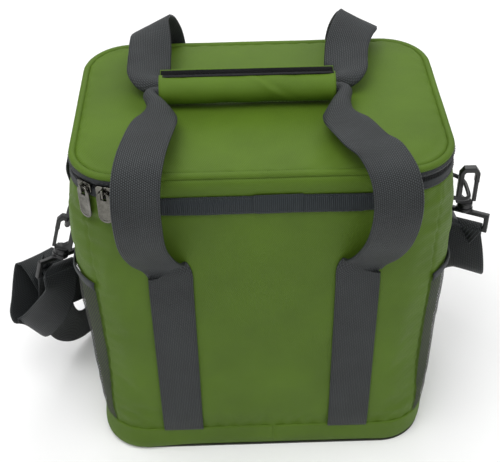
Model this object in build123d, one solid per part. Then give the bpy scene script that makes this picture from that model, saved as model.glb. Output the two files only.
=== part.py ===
from build123d import *
import math
import os

# Insulated cooler bag: foam-walled soft box, zipped lid hinged at the front, two webbing
# handles joined by a wrap, mesh side pockets, D-rings and a clip-on shoulder strap.
# Millimetres. Origin at the middle of the underside, +Z up, the lid hinges on the -Y side.

# ---- driving dimensions ----
width = 315.0
depth = 210.0
lid_top_z = 336.0
corner_r = 44.0

fabric = 1.0            # outer cloth
foam = 7.0              # closed-cell insulation
liner = 0.8             # foil-faced lining
base_board = 2.0
base_foam_top = 9.0
base_band_top = 30.0
base_band_t = 1.2
wall_top = 314.0        # upper edge of the outer cloth walls
foam_top = 322.0        # upper edge of the wall foam, behind the zipper tape
coil_r = 1.0
coil_low_z = 323.0
coil_high_z = 325.2
upper_tape_top = 331.5
piping_r = 3.0
hinge_y = -depth / 2 + 1.5
hinge_z = lid_top_z - 2.0
hinge_half = 98.0       # half length of the lid's cloth hinge
seam_angle = 45.0        # where the front and side cloth panels meet on each corner

webbing = 38.0
webbing_t = 2.0
strap_x = 79.4          # middle of each sewn handle leg
sewn_top = 237.0
anchor_y = depth / 2 + webbing_t / 2 + 0.1

grip_y = -4.0
grip_z = 352.0
wrap_r = 12.5
wrap_t = 1.2
grip_left = -84.0
grip_right = 64.0

pocket_top = 214.0
pocket_bottom = 32.0
pocket_stand = 9.0

ring_pivot_x = 168.0
left_pivot_z = 235.0    # the left tab is a little longer
right_pivot_z = 241.0
ring_bar = 4.0
ring_half = 19.0
ring_reach = 26.0
left_ring_droop = 60.0
right_ring_droop = 18.0

hook_drop = 56.0        # from the ring's bar to the eye's lower bar
left_hook_y = -11.0
left_hook_tilt = 16.0
right_hook_lift = 14.0  # the stiff strap holds the right hook up on its ring
hook_turn_left = 42.0   # how far each eye's bar is turned from the X axis
hook_turn_right = -25.0
eye_width = 48.5
eye_bar = 4.4

slider_a_angle = 38.7   # round the front left corner, from the -Y direction
slider_b_angle = 15.8
slider_z = 323.0


# ---- helpers ----
def block(x0, x1, y0, y1, z0, z1):
    """A box between two corners."""
    return Pos((x0 + x1) / 2, (y0 + y1) / 2, (z0 + z1) / 2) * Box(x1 - x0, y1 - y0, z1 - z0)


def plan_block(inset, z0, z1):
    """The bag's rounded plan, moved in by inset, from z0 to z1."""
    with BuildSketch(Plane.XY.offset(z0)) as sk:
        RectangleRounded(width - 2 * inset, depth - 2 * inset, corner_r - inset)
    return extrude(sk.sketch, amount=z1 - z0)


def plan_wall(inset, thickness, z0, z1):
    """A wall that follows the plan, its outer face moved in by inset."""
    return plan_block(inset, z0, z1) - plan_block(inset + thickness, z0 - 1, z1 + 1)


def corner_point(sx, sy, radius, angle):
    """A point about a plan corner's centre, angle measured from the Y direction."""
    a = math.radians(angle)
    cx, cy = width / 2 - corner_r, depth / 2 - corner_r
    return sx * (cx + radius * math.sin(a)), sy * (cy + radius * math.cos(a))


def seam_sector(side):
    """A prism that holds one side's share of the walls, cut on the corners' seam lines."""
    cx, cy = width / 2 - corner_r, depth / 2 - corner_r
    reach = 300.0
    a = math.radians(seam_angle)
    far_x, far_y = cx + reach * math.sin(a), cy + reach * math.cos(a)
    if side in ("front", "back"):
        s = 1 if side == "back" else -1
        outline = [(-cx, 0), (cx, 0), (cx, s * cy), (far_x, s * far_y), (-far_x, s * far_y), (-cx, s * cy)]
    else:
        s = 1 if side == "right" else -1
        outline = [(0, -cy), (0, cy), (s * cx, cy), (s * far_x, far_y), (s * far_x, -far_y), (s * cx, -cy)]
    with BuildSketch() as sk:
        with BuildLine():
            Polyline(*outline, close=True)
        make_face()
    return extrude(sk.sketch, amount=lid_top_z)


def profile_x(points, x0, x1):
    """A closed YZ outline extruded along X from x0 to x1."""
    with BuildSketch(Plane.YZ.offset(x0)) as sk:
        with BuildLine():
            Polyline(*points, close=True)
        make_face()
    return extrude(sk.sketch, amount=x1 - x0)


def ribbon(points, sides, bands, thickness):
    """A flat strap: a rectangle of band by thickness at each point, joined by ruled faces."""
    sections = []
    for i, (point, side, band) in enumerate(zip(points, sides, bands)):
        before = Vector(*points[max(i - 1, 0)])
        after = Vector(*points[min(i + 1, len(points) - 1)])
        across = Vector(*side).normalized()
        normal = across.cross((after - before).normalized()).normalized()
        half_w, half_t = across * (band / 2), normal * (thickness / 2)
        centre = Vector(*point)
        corners = [centre - half_w - half_t, centre + half_w - half_t]
        corners += [centre + half_w + half_t, centre - half_w + half_t]
        sections.append(make_face(Polyline(*corners, close=True)))
    return loft(sections, ruled=True)


def rod(start, end, radius):
    """A round bar between two points."""
    a, b = Vector(*start), Vector(*end)
    return Plane(origin=a, z_dir=b - a) * Cylinder(
        radius, (b - a).length, align=(Align.CENTER, Align.CENTER, Align.MIN))


parts = {}

# ---- walls: cloth outside, foam in the middle, lining inside ----
foam_out = fabric + 0.05
liner_out = foam_out + foam + 0.05
cloth = plan_wall(0, fabric, base_board, wall_top)
padding = plan_wall(foam_out, foam, base_board + 0.1, foam_top)
for side in ("front", "back"):
    parts[side + "_panel"] = cloth & seam_sector(side)
    sign = -1 if side == "front" else 1
    flat = width / 2 - corner_r - 0.2
    y_out, y_in = sign * (depth / 2 - foam_out), sign * (depth / 2 - foam_out - foam)
    parts[side + "_foam"] = block(
        -flat, flat, min(y_out, y_in), max(y_out, y_in), base_board + 0.1, foam_top)
inner_x = width / 2 - corner_r
for side, sx in (("left", -1), ("right", 1)):
    parts[side + "_side_panel"] = cloth & seam_sector(side)
    keep = block(min(sx * inner_x, sx * 400), max(sx * inner_x, sx * 400), -300, 300, 0, 400)
    parts[side + "_foam"] = padding & keep
parts["liner_walls"] = plan_wall(liner_out, liner, base_foam_top + liner + 0.2, foam_top)
parts["liner_base"] = plan_block(liner_out + 0.05, base_foam_top + 0.1, base_foam_top + 0.1 + liner)
parts["base_panel"] = plan_block(0.2, 0, base_board - 0.05)
parts["base_foam"] = plan_block(liner_out, base_board + 0.1, base_foam_top)
parts["base_band"] = plan_wall(-base_band_t - 0.05, base_band_t, 0, base_band_top)

# ---- cloth hinge, seam tape and zipper at the rim of the body ----
hinge_out = depth / 2
parts["hinge_band"] = block(
    -hinge_half, hinge_half, -hinge_out, -hinge_out + fabric, wall_top + 0.1, hinge_z - 3.2)
parts["hinge_seam_tape"] = block(
    -hinge_half, hinge_half, -hinge_out - 1.1, -hinge_out - 0.1, 299.0, 315.5)
front_gap = block(-hinge_half - 0.3, hinge_half + 0.3, -depth, -depth / 2 + 20, 290, 345)
parts["zipper_lower_tape"] = plan_wall(0, fabric, wall_top + 0.1, coil_low_z - 1.1) - front_gap
coil_path = {"low": coil_low_z, "high": coil_high_z}
coils = {}
for level, z in coil_path.items():
    coils[level] = plan_wall(0.1, 2 * coil_r, z - coil_r, z + coil_r) - front_gap
parts["zipper_lower_coil"] = coils["low"]

# ---- lid ----
lid_edge = 2 * piping_r - 0.6
parts["lid_top_panel"] = plan_block(lid_edge, lid_top_z - 1.2, lid_top_z - 0.2)
parts["lid_foam"] = plan_block(4.0, coil_high_z + 1.6, lid_top_z - 4.6)
parts["lid_liner"] = plan_block(4.6, coil_high_z + 0.7, coil_high_z + 1.5)
parts["lid_piping"] = plan_wall(0, lid_edge - 0.1, lid_top_z - 4.4, lid_top_z)
parts["zipper_upper_tape"] = (
    plan_wall(0, fabric, coil_high_z + coil_r + 0.1, upper_tape_top) - front_gap)
parts["zipper_upper_coil"] = coils["high"]

# ---- handles: legs sewn up the panels ----
for side, sy in (("front", -1), ("back", 1)):
    for hand, sx in (("left", -1), ("right", 1)):
        y_in, y_out = sy * (depth / 2 + 0.1), sy * (depth / 2 + 0.1 + webbing_t)
        parts["%s_%s_handle_leg" % (side, hand)] = block(
            sx * strap_x - webbing / 2, sx * strap_x + webbing / 2,
            min(y_in, y_out), max(y_in, y_out), base_band_top + 0.3, sewn_top - 1.0)

# ---- handles: free loops, each leg's middle line as (x offset, y, z) from the sewn end ----
front_y, back_y = -anchor_y, anchor_y
bundle_w, bundle_h = 8.4, 11.0
front_bundle_y = grip_y - 5.2
back_bundle_y = grip_y + 4.4
front_left = [(-79.4, front_y, 237), (-86, -112, 252), (-93, -124, 270), (-97, -136, 292)]
front_left += [(-98, -144, 316), (-98, -141, 338), (-97, -128, 354), (-94, -110, 361)]
front_left += [(-91, -86, 361), (-90, -60, 357), (-97, -24, 352.5), (-93.5, front_bundle_y, grip_z)]
front_right = [(79.4, front_y, 237), (88, -112, 252), (95, -124, 270), (99, -136, 290)]
front_right += [(101, -144, 314), (101, -142, 336), (98, -130, 351), (92, -112, 358)]
front_right += [(84, -86, 358), (78, -60, 355), (77, -24, 352.2), (73.5, front_bundle_y, grip_z)]
back_low_left = [(-79.4, back_y, 237), (-83, 112, 262), (-88, 116, 292), (-92, 116, 322)]
back_low_left += [(-94, 111, 348), (-95, 99, 366), (-95, 84.5, 375.2)]
back_low_right = [(-x, y, z) for x, y, z in back_low_left]
back_up_left = [(-95, 83.5, 375.6), (-94, 66, 378), (-91, 46, 372), (-100.5, 28, 362)]
back_up_left += [(-97.5, 16, 355.5), (-93.5, back_bundle_y, grip_z)]
back_up_right = [(95, 83.5, 375.6), (91, 66, 378), (84, 46, 372), (80, 28, 362)]
back_up_right += [(78, 16, 355.5), (73.5, back_bundle_y, grip_z)]


def handle_leg(route, folded):
    """A handle leg, its width along X; a folded one narrows over its last points."""
    bands = [webbing] * len(route)
    if folded:
        bands[-3:] = [webbing * 0.8, webbing * 0.65, webbing * 0.47]
    return ribbon(route, [(1, 0, 0)] * len(route), bands, webbing_t)


def grip_bar(y, left_leg, right_leg):
    """The handle's webbing folded into a bar inside the wrap."""
    half_w, half_h, leg_half = bundle_w / 2, bundle_h / 2, webbing * 0.47 / 2
    return block(left_leg[-1][0] - leg_half, right_leg[-1][0] + leg_half, y - half_w, y + half_w,
                 grip_z - half_h, grip_z + half_h)


def handle_loop(left_leg, right_leg, y):
    """Both legs and the bar between them as one piece."""
    return handle_leg(left_leg, True) + grip_bar(y, left_leg, right_leg) + handle_leg(right_leg, True)


parts["front_handle_loop"] = handle_loop(front_left, front_right, front_bundle_y)
for hand, low in (("left", back_low_left), ("right", back_low_right)):
    parts["back_handle_%s_rise" % hand] = handle_leg(low, False)
parts["back_handle_loop"] = handle_loop(back_up_left, back_up_right, back_bundle_y)

# ---- wrap: a cloth shell round the front of the grip, closed from behind by the flap ----
def shell(radius, thickness, start, stop, x0, x1):
    """Part of a tube about the grip's middle, angles in degrees from +Y towards +Z."""
    steps = 14
    angles = [math.radians(start + (stop - start) * i / steps) for i in range(steps + 1)]
    outer = [(grip_y + radius * math.cos(a), grip_z + radius * math.sin(a)) for a in angles]
    inner_r = radius - thickness
    inner = [(grip_y + inner_r * math.cos(a), grip_z + inner_r * math.sin(a)) for a in angles]
    return profile_x(outer + inner[::-1], x0, x1)


parts["grip_wrap"] = shell(wrap_r, wrap_t, 82, 262, grip_left, grip_right)
parts["grip_loop_tape"] = shell(wrap_r + 1.0, 0.8, 84, 122, grip_left + 6, grip_right - 6)
lip_angle = math.radians(8)
lip_y, lip_z = grip_y + wrap_r * math.cos(lip_angle), grip_z + wrap_r * math.sin(lip_angle)
flap_lip = [(lip_y, lip_z), (lip_y + 7.5, lip_z + 8), (lip_y + 6.6, lip_z + 9), (lip_y - 1.3, lip_z)]
flap_lip += [(lip_y - 1.3, lip_z - 2), (lip_y, lip_z - 2)]
parts["grip_flap"] = (
    shell(wrap_r, wrap_t, -92, 8, grip_left, grip_right) + profile_x(flap_lip, grip_left, grip_right))
hook_strip = [(lip_y - 0.8, lip_z + 1.8), (lip_y + 5.4, lip_z + 8.4), (lip_y + 4.8, lip_z + 9.0)]
hook_strip += [(lip_y - 1.4, lip_z + 2.4)]
parts["grip_hook_tape"] = profile_x(hook_strip, grip_left + 3, grip_right - 3)

# ---- mesh side pockets ----
mesh_t = 0.8
pocket_wall_gap = 0.3
pocket_hug_angles = (48, 58, 68)
pocket_full_setback = 14.0
elastic_height = 8.0
elastic_extra = 1.0


def pocket_outline(sx, gap, thickness):
    """A plan band that hugs both corners and stands off the side between them."""
    outer, inner = [], []
    for sy in (-1, 1):
        arc_o = [corner_point(sx, sy, corner_r + gap + thickness, a) for a in pocket_hug_angles]
        arc_i = [corner_point(sx, sy, corner_r + gap, a) for a in pocket_hug_angles]
        stand = sx * (width / 2 + pocket_stand)
        y_full = sy * (depth / 2 - corner_r - pocket_full_setback)
        arc_o.append((stand, y_full))
        arc_i.append((stand - sx * thickness, y_full))
        outer += arc_o if sy < 0 else arc_o[::-1]
        inner += arc_i if sy < 0 else arc_i[::-1]
    with BuildSketch() as sk:
        with BuildLine():
            Polyline(*(outer + inner[::-1]), close=True)
        make_face()
    return sk.sketch


for side, sx in (("left", -1), ("right", 1)):
    mesh_height = pocket_top - pocket_bottom - elastic_height - 0.2
    mesh = extrude(pocket_outline(sx, pocket_wall_gap, mesh_t), amount=mesh_height)
    parts[side + "_pocket_mesh"] = Pos(0, 0, pocket_bottom) * mesh
    elastic = extrude(pocket_outline(sx, pocket_wall_gap, mesh_t + elastic_extra), amount=elastic_height)
    parts[side + "_pocket_elastic"] = Pos(0, 0, pocket_top - elastic_height) * elastic

# ---- D-rings and their webbing tabs ----
ring_r = ring_bar / 2


def d_ring():
    """A D-ring lying flat: its straight bar on the Y axis, its bow towards +X."""
    shoulder, flat = ring_reach - 8.0, 13.0
    corners = [(0, -ring_half), (shoulder, -ring_half + 1), (ring_reach, -flat)]
    corners += [(ring_reach, flat), (shoulder, ring_half - 1), (0, ring_half)]
    ring = None
    for (xa, ya), (xb, yb) in zip(corners, corners[1:] + corners[:1]):
        bar = rod((xa, ya, 0), (xb, yb, 0), ring_r) + Pos(xa, ya, 0) * Sphere(ring_r)
        ring = bar if ring is None else ring + bar
    return ring


def ring_tab(pivot_z):
    """A webbing tab on the right wall: a strip up the wall and a loop round the ring's bar."""
    wall, half = width / 2 + 0.1, 12.5
    loop_in, loop_out = ring_r + 0.35, ring_r + 1.9
    strip = block(wall, wall + 1.6, -half, half, pivot_z - 6, wall_top - 0.5)
    loop = Pos(ring_pivot_x, 0, pivot_z) * Rot(90, 0, 0) * (
        Cylinder(loop_out, 2 * half) - Cylinder(loop_in, 2 * half + 2))
    mouth = block(wall, ring_pivot_x, -20, 20, pivot_z - loop_in, pivot_z + loop_in)
    arms = block(wall, ring_pivot_x, -half, half, pivot_z - loop_out, pivot_z + loop_out)
    return strip + (loop + arms - mouth - Pos(ring_pivot_x, 0, pivot_z) * Rot(90, 0, 0) * (
        Cylinder(loop_in, 2 * half + 2)))


ring_end = {}
for side, sx, droop, pivot_z in (("left", -1, left_ring_droop, left_pivot_z),
                                 ("right", 1, right_ring_droop, right_pivot_z)):
    ring = Pos(ring_pivot_x, 0, pivot_z) * Rot(0, droop, 0) * d_ring()
    webbing_tab = ring_tab(pivot_z)
    parts[side + "_ring_tab"] = webbing_tab if sx > 0 else mirror(webbing_tab, about=Plane.YZ)
    parts[side + "_ring"] = ring if sx > 0 else mirror(ring, about=Plane.YZ)
    a = math.radians(droop)
    ring_end[side] = (sx * (ring_pivot_x + ring_reach * math.cos(a)),
                      pivot_z - ring_reach * math.sin(a))

# ---- snap hooks: body, sprung gate and swivel eye, drawn about the ring's bar ----
hook_gap = 4.7          # room between the ring's bar and the hook's crown
hook_half = 9.5
hook_t = 6.0
hook_base = -28.0
collar_low = -33.0


def hook_body():
    """The hook: spine, crown and nose in the XZ plane, with a collar below."""
    crown = ring_r + hook_gap
    outline = [(hook_half, hook_base), (hook_half, crown - 1), (hook_half - 4, crown + 5)]
    outline += [(-hook_half + 4, crown + 5), (-hook_half, crown - 1), (-hook_half, -5.0)]
    outline += [(-hook_half + 4.2, -5.0), (-hook_half + 4.2, crown - 2), (-hook_half + 6, crown)]
    outline += [(hook_half - 6, crown), (hook_half - 4.6, crown - 2)]
    outline += [(hook_half - 4.6, hook_base + 7), (0, hook_base + 3), (-4.6, hook_base + 3)]
    outline += [(-4.6, hook_base)]
    with BuildSketch(Plane.XZ.offset(-hook_t / 2)) as sk:
        with BuildLine():
            Polyline(*outline, close=True)
        make_face()
    collar = Pos(0, 0, (hook_base + collar_low) / 2) * Cylinder(7.0, hook_base - collar_low + 0.2)
    return extrude(sk.sketch, amount=hook_t) + collar


def hook_gate():
    """The sprung bar that closes the hook's mouth, hinged at its foot."""
    return block(-hook_half + 0.2, -hook_half + 3.6, -2.2, 2.2, hook_base + 0.9, -5.4)


def swivel_eye():
    """The eye that holds the strap: a flange under the collar and a flat window."""
    flange = Pos(0, 0, collar_low - 2.5) * Cylinder(7.6, 4.0)
    top = collar_low - 4.0
    bottom = -hook_drop - eye_bar / 2
    frame = Pos(0, 0, (top + bottom) / 2) * (
        Box(eye_width, eye_bar, top - bottom) - Box(eye_width - 2 * eye_bar, 20, top - bottom - 2 * eye_bar))
    return flange + frame


eye_at = {}
hook_pose = {"left": (left_hook_y, left_hook_tilt, 0.0), "right": (0.0, 0.0, right_hook_lift)}
for side, turn in (("left", hook_turn_left), ("right", hook_turn_right)):
    bar_x, bar_z = ring_end[side]
    y, tilt, lift = hook_pose[side]
    place = Pos(bar_x, y, bar_z) * Rot(0, tilt, 0) * Pos(0, 0, lift)
    facing = place if side == "left" else place * Rot(0, 0, 180)
    parts[side + "_hook_body"] = facing * hook_body()
    parts[side + "_hook_gate"] = facing * hook_gate()
    parts[side + "_swivel_eye"] = place * Rot(0, 0, turn) * swivel_eye()
    a = math.radians(tilt)
    eye_at[side] = (bar_x - (hook_drop - lift) * math.sin(a), y, bar_z - (hook_drop - lift) * math.cos(a))

# ---- shoulder strap: middle points and the direction of its width at each ----
strap_t = 1.8
bend_r = 4.8            # the strap's middle line round an eye's bar
run_y = 123.0           # the straight run behind the bag
run_z = 42.0
adjuster_x = -30.0
doubled_y = run_y - 2.5
up = (0, 0, 1)


def bar_side(turn, tilt):
    """The direction of an eye's bar."""
    a, t = math.radians(turn), math.radians(tilt)
    return math.cos(a) * math.cos(t), math.sin(a), -math.cos(a) * math.sin(t)


def round_bar(centre, turn, tilt):
    """The strap's middle line over an eye's bar, from its front to its back."""
    a, t = math.radians(turn), math.radians(tilt)
    front = Vector(math.sin(a) * math.cos(t), -math.cos(a), -math.sin(a) * math.sin(t))
    over = Vector(math.sin(t), 0, math.cos(t))
    points = []
    for step in range(7):
        b = math.radians(-20 + 220 * step / 6)
        at = Vector(*centre) + bend_r * (front * math.cos(b) + over * math.sin(b))
        points.append((at.X, at.Y, at.Z))
    return points


left_side, right_side = bar_side(hook_turn_left, left_hook_tilt), bar_side(hook_turn_right, 0.0)
outer_loop = [(-54, doubled_y, run_z), (-80, doubled_y, 45), (-110, 117, 51), (-140, 105.5, 58)]
outer_loop += [(-168, 84, 65), (-186, 62, 72), (-198, 42, 82), (-205, 26, 98), (-209, 16, 118)]
outer_loop += [(-212, 13, 134), (-218, 19, 142), (-225, 26, 142.5), (-230, 29, 134), (-234, 22, 117)]
outer_loop += [(-237, 10, 99), (-240, -1, 86), (-235, -11, 80), (-224, -18, 91), (-210.5, -20, 109)]
outer_loop += [(-200, -18.5, 127), (-194, -16.5, 143)]
outer_sides = [up] * 5 + [(0.1, 0.1, 0.98), (0.35, 0.3, 0.9), (0.62, 0.5, 0.6), (0.75, 0.6, 0.25)]
outer_sides += [(0.8, 0.58, 0.1)] * 2 + [(0.8, 0.58, 0.0)] * 2 + [(0.78, 0.5, -0.3), (0.72, 0.35, -0.55)]
outer_sides += [(0.6, 0.2, -0.77), (0.57, 0.1, -0.8), (0.66, 0.05, -0.68), (0.74, 0.15, -0.66)]
outer_sides += [(0.72, 0.4, -0.5), left_side]
inner_pass = [(-203, -5, 136), (-206, -2, 112), (-208, 3, 88), (-207, 11, 66), (-203, 23, 46)]
inner_pass += [(-195, 40, 31), (-182, 66, 22), (-150, 104, 21.5), (-110, run_y, 28), (-80, run_y, 38)]
inner_pass += [(-48, run_y, run_z)]
inner_pass += [(45, run_y, run_z), (85, run_y - 0.5, 44), (120, 119, 50), (150, 104, 62)]
inner_pass += [(170, 82, 78), (182, 58, 96), (190, 38, 112), (196, 22, 122), (200, 10, 127)]
inner_pass += [(201.5, 1, 133), (200, -5, 144), (196, -6.5, 166)]
inner_sides = [left_side] * 3 + [(0.68, 0.6, 0.4), (0.5, 0.45, 0.75), (0.25, 0.25, 0.93)] + [up] * 9
inner_sides += [up, (0.2, 0, 0.95), (0.5, -0.1, 0.8), (0.8, -0.3, 0.45)] + [right_side] * 4
left_bar = round_bar(eye_at["left"], hook_turn_left, left_hook_tilt)
right_bar = round_bar(eye_at["right"], hook_turn_right, 0.0)
sewn_end = [(right_bar[-1][0] + 0.6, right_bar[-1][1] + 1.0, right_bar[-1][2] - 24)]
strap_route = outer_loop + left_bar + inner_pass + right_bar + sewn_end
strap_sides = outer_sides + [left_side] * len(left_bar) + inner_sides
strap_sides += [right_side] * (len(right_bar) + 1)
parts["shoulder_strap"] = ribbon(strap_route, strap_sides, [webbing] * len(strap_route), strap_t)

# ---- strap adjuster: a ladder frame round the straight run, with its sewn loop ----
rung_half_z = webbing / 2 + 0.5
frame_half_x = 13.0
outer_rung = 4.0
middle_rung_half = 2.2
side_rail = 3.6
frame_near, frame_far = run_y - 3.6, run_y + 4.0
strap_clear = 1.3
adjuster = block(adjuster_x - middle_rung_half, adjuster_x + middle_rung_half, frame_near, run_y - strap_clear,
                 run_z - rung_half_z, run_z + rung_half_z)
for s in (-1, 1):
    rung = sorted((adjuster_x + s * frame_half_x, adjuster_x + s * (frame_half_x - outer_rung)))
    rail = sorted((run_z + s * rung_half_z, run_z + s * (rung_half_z + side_rail)))
    adjuster += block(*rung, run_y + strap_clear, frame_far, run_z - rung_half_z, run_z + rung_half_z)
    adjuster += block(adjuster_x - frame_half_x, adjuster_x + frame_half_x, frame_near, frame_far, *rail)
parts["strap_adjuster"] = adjuster
adjuster_loop_reach = 46.0
adjuster_loop_near, adjuster_loop_far = run_y - 5.4, run_y - 3.7
parts["adjuster_loop"] = block(adjuster_x - adjuster_loop_reach, adjuster_x + middle_rung_half, adjuster_loop_near,
                               adjuster_loop_far, run_z - webbing / 2, run_z + webbing / 2)

# ---- zipper sliders and pulls, drawn at the front wall: outwards is -Y ----
slider_half = 7.0
pull_pivot_out = 3.9
pull_pivot_drop = 0.3
pull_length = 31.0
pull_width = 12.5


def slider_body():
    """A slider's outer plate with the bail that its pull hangs from."""
    plate = block(-slider_half, slider_half, -2.4, -0.4, -4.6, 4.2)
    plate = fillet(plate.edges().filter_by(Axis.Y), 1.8)
    bail = block(-0.9, 0.9, -7.0, -2.2, -4.4, 4.0) - block(-2, 2, -5.4, -2.2, -2.8, 2.4)
    return plate + bail


def pull_tab():
    """An oval pull with a raised rim, hanging, its pivot at the origin."""
    with BuildSketch(Plane.XZ.offset(-0.8)) as sk:
        with Locations((0, -pull_length / 2 + 0.9)):
            SlotOverall(pull_length, pull_width, rotation=90)
        with Locations((0, -4.0)):
            Rectangle(5.0, 6.6, mode=Mode.SUBTRACT)
    plate = extrude(sk.sketch, amount=1.6)
    with BuildSketch(Plane.XZ.offset(0.4)) as dish:
        with Locations((0, -pull_length / 2 - 3.2)):
            SlotOverall(pull_length - 12.5, pull_width - 3.4, rotation=90)
    return plate - extrude(dish.sketch, amount=2.0)


for name, angle in (("a", slider_a_angle), ("b", slider_b_angle)):
    x, y = corner_point(-1, -1, corner_r, angle)
    place = Pos(x, y, slider_z) * Rot(0, 0, -angle)
    parts["slider_" + name] = place * slider_body()
    parts["pull_" + name] = place * Pos(0, -pull_pivot_out, -pull_pivot_drop) * pull_tab()

# ---- write one file per piece ----
os.makedirs("parts", exist_ok=True)
for name, shape in parts.items():
    shape.label = name
    export_step(shape, os.path.join("parts", name + ".step"))
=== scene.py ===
"""Insulated cooler bag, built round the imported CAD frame. Metres, +Z up, the lid hinges on the -Y side."""

import math

import bpy
import numpy as np
from mathutils import Matrix, Vector, noise
from mathutils.bvhtree import BVHTree


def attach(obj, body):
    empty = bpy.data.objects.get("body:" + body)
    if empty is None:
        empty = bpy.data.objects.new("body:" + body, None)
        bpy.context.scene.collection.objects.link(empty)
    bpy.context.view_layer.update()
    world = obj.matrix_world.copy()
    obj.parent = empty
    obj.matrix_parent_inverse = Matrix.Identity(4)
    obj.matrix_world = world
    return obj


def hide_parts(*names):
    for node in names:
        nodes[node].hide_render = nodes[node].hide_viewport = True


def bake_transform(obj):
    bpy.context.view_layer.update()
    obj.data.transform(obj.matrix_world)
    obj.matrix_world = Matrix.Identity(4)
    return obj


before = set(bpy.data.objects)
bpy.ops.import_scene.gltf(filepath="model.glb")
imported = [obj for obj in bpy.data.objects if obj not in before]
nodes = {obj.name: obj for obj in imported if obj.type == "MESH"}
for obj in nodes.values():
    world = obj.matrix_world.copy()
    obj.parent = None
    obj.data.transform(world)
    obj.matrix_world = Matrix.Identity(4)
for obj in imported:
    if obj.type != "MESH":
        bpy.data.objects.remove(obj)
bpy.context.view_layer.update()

# ---- sizes, in metres ----
WIDTH, DEPTH, CORNER = 0.315, 0.210, 0.044
BAND_TOP, WALL_TOP, LID_TOP = 0.030, 0.314, 0.336
STRAP_X, SEWN_BOTTOM, SEWN_TOP, SEWN_REACH = 0.0794, 0.0300, 0.237, 0.1108
WEBBING, HANDLE_THICK = 0.038, 0.0019
CLOTH, THIN_CLOTH, TAPE_THICK = 0.0010, 0.0006, 0.0008  # thicknesses
HINGE_HALF = 0.098
GRIP_Y, GRIP_Z, WRAP_R = -0.0055, 0.3530, 0.0125
GRIP_LEFT, GRIP_RIGHT = -0.084, 0.064
POCKET_TOP, POCKET_BOTTOM = 0.214, 0.032
RING_X, RING_Z, RING_REACH = 0.168, {"left": 0.235, "right": 0.241}, 0.026
RING_DROOP = {"left": 60.0, "right": 18.0}
SPINE = 0.055  # half the middle line that the rows of a lying panel close in on
HALF_X, HALF_Y = WIDTH / 2 - CORNER, DEPTH / 2 - CORNER
ARC = CORNER * math.pi / 2
GIRTH = 4 * (HALF_X + HALF_Y + ARC)
PER = 5  # steps from one key point to the next on a smooth line


# ---- small maths ----
def share(a, b, x):
    """How far x is on the way from a to b, 0 to 1."""
    return min(max((x - a) / (b - a), 0.0), 1.0)


def smooth(a, b, x):
    """0 before a, 1 past b, smooth between."""
    t = share(a, b, x)
    return t * t * (3 - 2 * t)


def bump(x, middle, half):
    """A soft hill of height 1 at middle."""
    return math.exp(-(((x - middle) / half) ** 2))


def wavy(x, y, z, scale):
    """Smooth noise, about -1 to 1, with features of the given size."""
    return noise.noise(Vector((x, y, z)) / scale)


def spread(a, b, count):
    """Even steps from a to b, both ends included."""
    return [a + (b - a) * i / count for i in range(count + 1)]


def tenths(table):
    """Points that are given in tenths of a millimetre, in metres."""
    return [tuple(v / 10000 for v in row) for row in table]


def through(keys):
    """Points on a smooth curve through the keys, PER steps from each to the next."""
    p = [np.array(q, float) for q in keys]
    p = [2 * p[0] - p[1]] + p + [2 * p[-1] - p[-2]]
    out = []
    for a, b, c, d in zip(p, p[1:], p[2:], p[3:]):
        for k in range(PER):
            t = k / PER
            out.append(0.5 * (2 * b + (c - a) * t + (2 * a - 5 * b + 4 * c - d) * t * t
                              + (3 * b - a - 3 * c + d) * t ** 3))
    return np.array(out + [p[-2]])


# ---- the bag's plan: a rounded rectangle, walked from the middle of the front towards +X ----
LENGTHS = [HALF_X, ARC, 2 * HALF_Y, ARC, 2 * HALF_X, ARC, 2 * HALF_Y, ARC, HALF_X]
CORNERS = [(HALF_X, -HALF_Y, -90), (HALF_X, HALF_Y, 0), (-HALF_X, HALF_Y, 90), (-HALF_X, -HALF_Y, 180)]
OUTWARD = [(0, -1), (1, 0), (0, 1), (-1, 0)]
SEAMS = [HALF_X + ARC / 2, HALF_X + 1.5 * ARC + 2 * HALF_Y, 3 * HALF_X + 2.5 * ARC + 2 * HALF_Y,
         3 * HALF_X + 3.5 * ARC + 4 * HALF_Y]


def plan(run, out=0.0):
    """(x, y, outward x, outward y) at a distance round the plan, moved outwards by out."""
    run = run % GIRTH
    for k, length in enumerate(LENGTHS):
        if run <= length or k == len(LENGTHS) - 1:
            break
        run -= length
    if k % 2:
        x, y, a = CORNERS[k // 2]
        a = math.radians(a + 90 * run / ARC)
        nx, ny = math.cos(a), math.sin(a)
        return x + (CORNER + out) * nx, y + (CORNER + out) * ny, nx, ny
    nx, ny = OUTWARD[k // 2 % 4]
    along = (0.0 if k == 0 else (-HALF_X if ny else -HALF_Y)) + run
    return nx * (WIDTH / 2 + out) - ny * along, ny * (DEPTH / 2 + out) + nx * along, nx, ny


def past(run, seam):
    """Signed distance round the plan from a seam."""
    return (run - seam + GIRTH / 2) % GIRTH - GIRTH / 2


def runs(start, stop, step, extra=()):
    """Distances from start to stop, with extra ones near the given places."""
    values = spread(start, stop, max(2, round((stop - start) / step)))
    for e in extra:
        for d in (-0.0032, -0.0018, -0.0009, 0, 0.0009, 0.0018, 0.0032):
            if start < e + d < stop:
                values.append(e + d)
    values.sort()
    kept = [values[0]]
    for v in values[1:]:
        if v - kept[-1] > 0.0005:
            kept.append(v)
    return kept


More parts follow.
